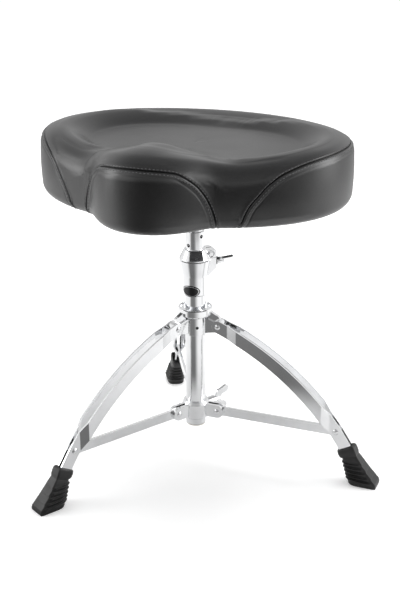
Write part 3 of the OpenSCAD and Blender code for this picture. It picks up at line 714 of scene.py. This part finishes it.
def boot_mesh():
    """A boot for leg 1, which points to +X: a rolled band, a flaring ribbed body and a flat sole.

    The body is a stack of rings. Each ring runs from an outer point on the flat outer face to an inner
    point, both in the leg's plane, and bulges to both sides.
    """
    low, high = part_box("leg_1_foot")
    end_x, half_sole = high.x / MM, (high.y - low.y) / 2 / MM
    # share of the way down, outer x and z, inner x and z, half width, in millimetres
    stations = np.array([
        (0.00, 232.0, 56.6, 214.4, 46.6, 6.6), (0.02, 234.0, 56.8, 213.0, 46.6, 7.4),
        (0.05, 236.2, 55.2, 212.0, 45.2, 8.1), (0.10, 238.4, 50.6, 212.8, 41.2, 8.7),
        (0.145, 240.0, 46.4, 215.2, 37.0, 8.6), (0.165, 240.4, 44.4, 217.0, 35.6, 8.1),
        (0.18, 240.6, 43.4, 219.2, 35.2, 7.5), (0.20, 241.8, 41.8, 220.2, 34.0, 8.0),
        (0.24, 244.2, 38.8, 221.0, 31.6, 8.7), (0.60, 257.0, 21.9, 225.6, 15.8, 11.2),
        (0.90, end_x - 1.3, 7.4, 228.9, 3.9, half_sole - 0.3), (0.95, end_x - 0.3, 4.2, 229.4, 2.0, half_sole),
        (0.985, end_x, 1.2, 230.0, 0.8, half_sole), (1.0, end_x - 0.4, 0, 230.7, 0, half_sole - 0.5)])
    rows = 190
    along = np.linspace(0, 1, rows)
    outer_x, outer_z, inner_x, inner_z, wide = (np.interp(along, stations[:, 0], stations[:, k])
                                                for k in range(1, 6))
    # the ring's half, from the middle of the outer face (t = 0) to the middle of the inner one (t = 1)
    face = np.array([0, 0.3, 0.6, 0.8, 0.9])    # shares of the half width over the flat outer face
    t = np.concatenate([np.zeros(len(face)), np.linspace(0.012, 1, 60)])
    ribs, rib_long, rib_high = (0.35, 0.48, 0.61, 0.74, 0.86), 0.11, 2.6
    steps, ledge_long = (0.38, 0.57, 0.76), 0.15
    points = []
    for i, v in enumerate(along):
        side = np.where(t < 0.1, 0.92 + 0.08 * smooth_step(t / 0.1), 1.0)
        side = side * np.maximum(0, 1 - np.maximum(0, (t - 0.35) / 0.65) ** 5) ** (1 / 2.4)
        side[:len(face)] = face
        rib = np.zeros_like(t)
        for place in ribs:
            # each rib climbs towards the inner side and ends in a ledge
            ahead = v - (place - 0.12 * t ** 1.8)
            rib += np.where((ahead > 0) & (ahead < rib_long), 1 - ahead / rib_long, 0) * smooth_step(ahead / 0.01)
        rib *= smooth_step((t - 0.06) / 0.1) * smooth_step((0.975 - v) / 0.03)
        ledge = 0.0
        for place in steps:
            behind = v - place
            ledge += float(smooth_step(behind / 0.01) * smooth_step((ledge_long + 0.01 - behind) / ledge_long))
        x = outer_x[i] + (inner_x[i] - outer_x[i]) * t
        z = outer_z[i] + (inner_z[i] - outer_z[i]) * t
        y = side * wide[i] + rib_high * rib * (side > 0.02) * smooth_step(side / 0.3)
        x = x - 1.5 * rib * smooth_step((t - 0.8) / 0.2) - 0.7 * ledge * (t == 0)
        ring = np.stack([x, y, np.maximum(z, 0)], 1)
        points.append(np.concatenate([ring, (ring[1:-1] * (1, -1, 1))[::-1]]))
    body = np.array(points)
    # the lip round the opening and the pocket that takes the two straps
    top = body[0]
    middle = top.mean(0)
    axis = np.array([outer_x[0] - inner_x[0], 0, outer_z[0] - inner_z[0]])
    axis /= np.linalg.norm(axis)
    down = np.array([axis[2], 0, -axis[0]])
    pocket = []
    spread = ((top - middle) @ axis)[:, None] * axis
    spread[:, 1] = top[:, 1]
    for sink, share in ((0.5, 0.93), (0.9, 0.9), (2.2, 0.88), (5.0, 0.87)):
        pocket.append(middle + spread * share + down * sink)
    grid = np.concatenate([np.array(pocket[::-1]), body]) * MM
    return grid.reshape(-1, 3), tube_faces(len(grid), body.shape[1])


def build_boots():
    points, faces = boot_mesh()
    for n in range(3):
        turn = np.array(Matrix.Rotation(math.radians(120 * n), 3, "Z"))
        make_piece(f"rubber_boot_{n + 1}", points @ turn.T, faces, "rubber", f"leg_{n + 1}",
                   [f"leg_{n + 1}_foot"])


# ---------------------------------------------------------------- badge

def build_badge():
    """A plain oval badge on the clamp housing: a domed black face in a chrome rim."""
    low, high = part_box("clamp_badge")
    middle_z = (low.z + high.z) / 2
    facing = math.radians(-92)    # the badge's azimuth
    radius = 17 * MM              # of the housing behind it
    half_h, half_w = (high.z - low.z) / 2 + 0.9 * MM, 14 * MM
    count = 72

    def on_housing(u, w, lift):
        a = facing + u / radius
        return ((radius + lift) * math.cos(a), (radius + lift) * math.sin(a), middle_z + w)

    def oval(share, lift):
        return [on_housing(share * half_w * math.cos(t), share * half_h * math.sin(t), lift)
                for t in np.linspace(0, 2 * math.pi, count, endpoint=False)]

    face_rings = [(1.0, 0.0), (0.99, 0.6 * MM), (0.96, 0.8 * MM), (0.8, 0.9 * MM), (0.6, 0.95 * MM),
                  (0.4, 1.0 * MM), (0.2, 1.02 * MM)]
    points = [p for share, lift in face_rings for p in oval(share, lift)]
    faces = grid_faces(len(face_rings), count, True)
    faces.append(tuple((len(face_rings) - 1) * count + j for j in range(count)))
    make_piece("badge_face", points, faces, "black_badge", "base", ["clamp_badge"])
    line_rings = [(0.8, 0.7 * MM), (0.8, 1.05 * MM), (0.82, 1.2 * MM), (0.855, 1.2 * MM), (0.875, 1.05 * MM),
                  (0.875, 0.7 * MM)]
    points = [p for share, lift in line_rings for p in oval(share, lift)]
    faces = [tuple(reversed(f)) for f in grid_faces(len(line_rings), count, True)]
    make_piece("badge_line", points, faces, "chrome", "base")


cover_top = top_panel()
cover_nose = lower_panel("cover_nose", "cover_nose_panel", azimuths(-NOSE_END, NOSE_END), nose_seam, 64)
cover_side = lower_panel("cover_side", "cover_side_panel", azimuths(SIDE_START, 360 - SIDE_START), side_seam, 60)
for seam_name, below in (("nose", cover_nose), ("side", cover_side)):
    build_stitches(f"stitches_{seam_name}", below, seam_points[seam_name], 1, STITCH_GAP)
    build_stitches(f"stitches_above_{seam_name}", cover_top, seam_points[seam_name], -1, NEAR_GAP)
build_foam()
build_lining()
build_boots()
build_badge()


# ---------------------------------------------------------------- stage: floor, lights, camera

VIEW_AZIMUTH = math.radians(-67.85)   # from the post towards the camera
VIEW_DISTANCE, VIEW_HEIGHT = 1.5044, 0.8269
VIEW_PITCH, VIEW_PAN, VIEW_ROLL = math.radians(21.37), math.radians(0.25), math.radians(-0.26)
LENS = 69.65

# The studio's brightness by direction: before the throne (on the camera's side), behind it, beside it,
# and the share that is left of it overhead.
BEFORE, BEHIND, BESIDE, ABOVE = 0.15, 0.82, 0.95, 0.5


def place_camera():
    camera = bpy.data.objects.new("camera", bpy.data.cameras.new("camera"))
    camera.data.lens = LENS
    camera.data.sensor_width = 36
    heading = VIEW_AZIMUTH + math.pi - VIEW_PAN
    forward = Vector((math.cos(heading) * math.cos(VIEW_PITCH), math.sin(heading) * math.cos(VIEW_PITCH),
                      -math.sin(VIEW_PITCH)))
    right = Vector((math.sin(heading), -math.cos(heading), 0))
    up = right.cross(forward)
    side = right * math.cos(VIEW_ROLL) + up * math.sin(VIEW_ROLL)
    top = up * math.cos(VIEW_ROLL) - right * math.sin(VIEW_ROLL)
    turn = Matrix((side, top, -forward)).transposed().to_4x4()
    place = Vector((VIEW_DISTANCE * math.cos(VIEW_AZIMUTH), VIEW_DISTANCE * math.sin(VIEW_AZIMUTH), VIEW_HEIGHT))
    camera.matrix_world = Matrix.Translation(place) @ turn
    bpy.context.scene.collection.objects.link(camera)
    bpy.context.scene.camera = camera


def build_floor():
    """A pale paper floor. What shines sees it with painted dark stretches: painted reflections that put dark streaks
    in the chrome.
    """
    size = 30
    mesh = bpy.data.meshes.new("floor")
    mesh.from_pydata([(-size, -size, 0), (size, -size, 0), (size, size, 0), (-size, size, 0)], [], [(0, 1, 2, 3)])
    floor = bpy.data.objects.new("floor", mesh)
    bpy.context.scene.collection.objects.link(floor)
    material, tree, shader, place = new_material("pale_paper")
    mesh.materials.append(material)
    path = add(tree, "LightPath")
    place_on_floor = add(tree, "NewGeometry").outputs["Position"]
    parts = add(tree, "SeparateXYZ", {0: place_on_floor})
    around = calc(tree, "ARCTAN2", parts.outputs["Y"], parts.outputs["X"])
    turned = calc(tree, "SUBTRACT", around, VIEW_AZIMUTH)    # from the camera's side
    # dark streaks painted on the floor, seen only by glossy rays: painted reflections that darken the chrome in
    # streaks
    band = calc(tree, "MULTIPLY", remap(tree, turned, math.radians(-68), math.radians(-42)),
                remap(tree, turned, math.radians(34), math.radians(-16)))
    thin = calc(tree, "MULTIPLY", remap(tree, turned, math.radians(72), math.radians(80)),
                remap(tree, turned, math.radians(92), math.radians(84)))
    radius = add(tree, "VectorMath", {0: place_on_floor}, operation="LENGTH").outputs["Value"]
    painted_dark_streaks = calc(tree, "MAXIMUM", calc(tree, "MULTIPLY", band, 0.82), calc(tree, "MULTIPLY", thin, 0.35))
    painted_dark_streaks = calc(tree, "MULTIPLY", painted_dark_streaks, remap(tree, radius, 0.2, 0.3))
    painted_far_dark = remap(tree, radius, 0.8, 1.3)    # painted dark reflection far out on the camera's side, seen only by what shines
    front = remap(tree, calc(tree, "COSINE", turned), 0.15, 0.8, 0.0, 0.93)
    painted_reflection_dark = calc(tree, "MAXIMUM", painted_dark_streaks, calc(tree, "MULTIPLY", painted_far_dark, front))
    painted_reflection_colour = mix(tree, painted_reflection_dark, (0.88, 0.88, 0.88), (0.02, 0.02, 0.02))
    fibre = noise(tree, place, 300, 3)
    paper = mix(tree, fibre, (0.93, 0.93, 0.93), (0.95, 0.95, 0.95))
    # glossy rays see the painted dark reflections; camera and diffuse rays see the plain paper
    put(tree, shader.inputs["Base Color"], mix(tree, path.outputs["Is Glossy Ray"], paper, painted_reflection_colour))
    put(tree, shader.inputs["Roughness"], 0.9)
    put(tree, shader.inputs["Specular IOR Level"], 0.1)
    # lifts what the camera sees to white, and leaves the soft shadows round the feet
    put(tree, shader.inputs["Emission Color"], (1.0, 1.0, 1.0))
    put(tree, shader.inputs["Emission Strength"],
        calc(tree, "MULTIPLY", path.outputs["Is Camera Ray"], remap(tree, radius, 0.3, 1.6, 0.28, 0.5)))


def build_world():
    """A white studio: brightest behind the throne and to its sides, darker before it and overhead.

    front runs from -1 behind the throne to 1 at the camera, and across from -1 to 1 over its sides.
    """
    world = bpy.data.worlds.new("studio")
    bpy.context.scene.world = world
    world.use_nodes = True
    tree = world.node_tree
    tree.nodes.clear()
    path = add(tree, "LightPath")
    direction = add(tree, "TexCoord").outputs["Generated"]
    parts = add(tree, "SeparateXYZ", {0: direction})
    to_camera = (math.cos(VIEW_AZIMUTH), math.sin(VIEW_AZIMUTH), 0)
    front = add(tree, "VectorMath", {0: direction, 1: to_camera}, operation="DOT_PRODUCT").outputs["Value"]
    across = add(tree, "VectorMath", {0: direction, 1: (-to_camera[1], to_camera[0], 0)},
                 operation="DOT_PRODUCT").outputs["Value"]
    height = parts.outputs["Z"]
    before = remap(tree, height, 0.0, 0.5, BEFORE, 0.5)
    glow = remap(tree, front, 0.5, -0.7, 0.0, BEHIND)
    glow = calc(tree, "ADD", glow, calc(tree, "MULTIPLY", before, remap(tree, front, -0.7, 0.5)))
    right = remap(tree, across, 0.3, 0.9, 0.0, BESIDE)
    left = remap(tree, across, -0.4, -0.95, 0.0, BESIDE)
    sides = calc(tree, "MULTIPLY", calc(tree, "ADD", right, left),
                 remap(tree, height, 0.25, 0.7, 1.0, 0.3))
    glow = calc(tree, "ADD", glow, sides)
    glow = calc(tree, "MULTIPLY", glow, remap(tree, height, 0.45, 0.9, 1.0, ABOVE))
    soft = mix(tree, glow, (0, 0, 0), (1, 1, 1))
    colour = mix(tree, path.outputs["Is Camera Ray"], soft, (1, 1, 1))
    background = add(tree, "Background", {"Color": colour, "Strength": 1.0})
    output = add(tree, "OutputWorld")
    tree.links.new(background.outputs[0], output.inputs[0])


def area_light(name, place, target, size, power, shines=True):
    light = bpy.data.lights.new(name, "AREA")
    light.shape = "RECTANGLE"
    light.size, light.size_y = size
    light.energy = power
    lamp = bpy.data.objects.new(name, light)
    lamp.location = place
    lamp.rotation_euler = (Vector(target) - Vector(place)).to_track_quat("-Z", "Y").to_euler()
    bpy.context.scene.collection.objects.link(lamp)
    lamp.visible_glossy = shines


place_camera()
build_floor()
build_world()
area_light("overhead_softbox", (-0.1, 0.5, 2.2), (0, 0, 0.3), (1.8, 1.4), 34, False)
area_light("right_softbox", (1.6, 0.5, 0.9), (0, 0, 0.4), (0.8, 1.4), 12)
area_light("left_softbox", (-1.6, -0.7, 0.9), (0, 0, 0.4), (0.7, 1.4), 8)
bpy.context.scene.view_settings.view_transform = "Standard"
